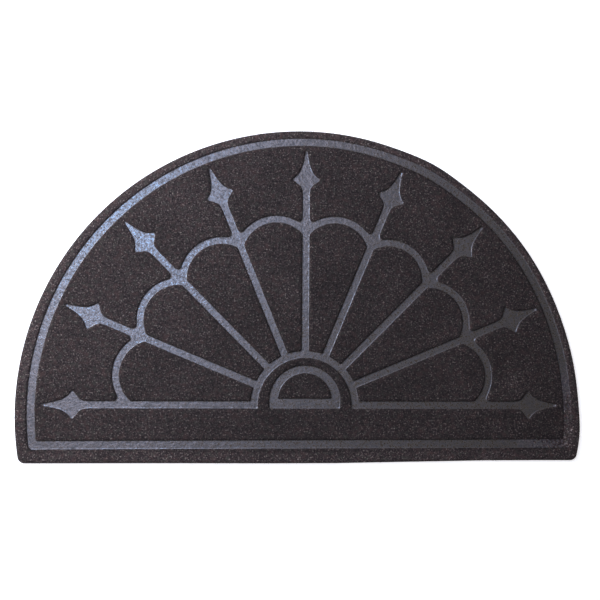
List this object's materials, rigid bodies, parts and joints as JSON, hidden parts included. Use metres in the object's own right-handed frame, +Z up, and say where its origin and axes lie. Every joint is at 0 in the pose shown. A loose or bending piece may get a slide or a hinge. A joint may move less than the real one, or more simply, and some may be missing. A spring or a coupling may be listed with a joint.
{
  "type": "half round doormat",
  "caption": "Flat half round doormat of dark felt with a rounded edge and a fanlight pattern of rays, scallops and spear heads pressed into its face.",
  "frame": {"origin": "middle of the footprint on the underside, which rests on the floor", "axes": "+X along the straight base edge, to the right seen from above with the round edge away from the viewer; +Y towards the round edge; +Z up, out of the pressed face"},
  "size_m": [0.7518, 0.447, 0.008],
  "materials": {
    "felt": "charcoal needle-punched felt, matt and finely speckled, with its pressed lines fused to a sheen"
  },
  "bodies": {
    "root": {"mat": "felt"}
  },
  "joints": []
}
